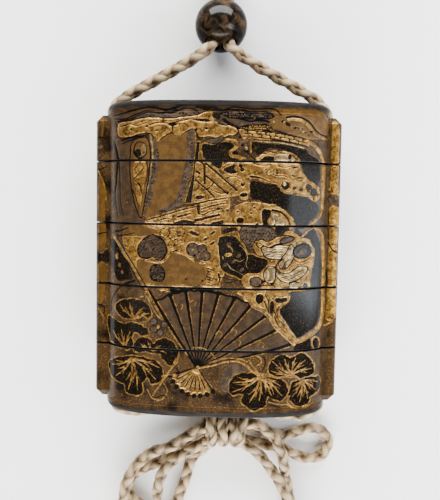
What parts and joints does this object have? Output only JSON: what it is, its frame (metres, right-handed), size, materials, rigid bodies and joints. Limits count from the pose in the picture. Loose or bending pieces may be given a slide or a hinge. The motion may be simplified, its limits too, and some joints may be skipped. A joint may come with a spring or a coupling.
{
  "type": "inro case",
  "caption": "Slim oval lacquered box of nested tiers under a lift-off lid, strung on a braided cord with a sliding bead and a bow.",
  "frame": {"origin": "under the middle of the case, on the surface that its back lies on", "axes": "+Y along the case's height towards the lid's top, +Z out of the decorated front, +X to the right seen from the front"},
  "size_m": [0.0657, 0.1669, 0.0239],
  "materials": {
    "lacquer": "black and brown lacquer with gold and dark raised decoration, semi-gloss, worn at the edges",
    "bead": "dark brown mottled lacquer, polished",
    "silk_cord": "beige braided silk"
  },
  "bodies": {
    "root": {"lid": "lacquer", "case_1": "lacquer", "case_2": "lacquer", "case_3": "lacquer", "case_4": "lacquer", "ojime_bead": "bead", "cord_left": "silk_cord", "cord_right": "silk_cord", "loop_left_outer": "silk_cord", "loop_left_inner": "silk_cord", "loop_right_small": "silk_cord", "loop_right_large": "silk_cord", "bow_knot": "silk_cord", "end_knot": "silk_cord"}
  },
  "joints": []
}
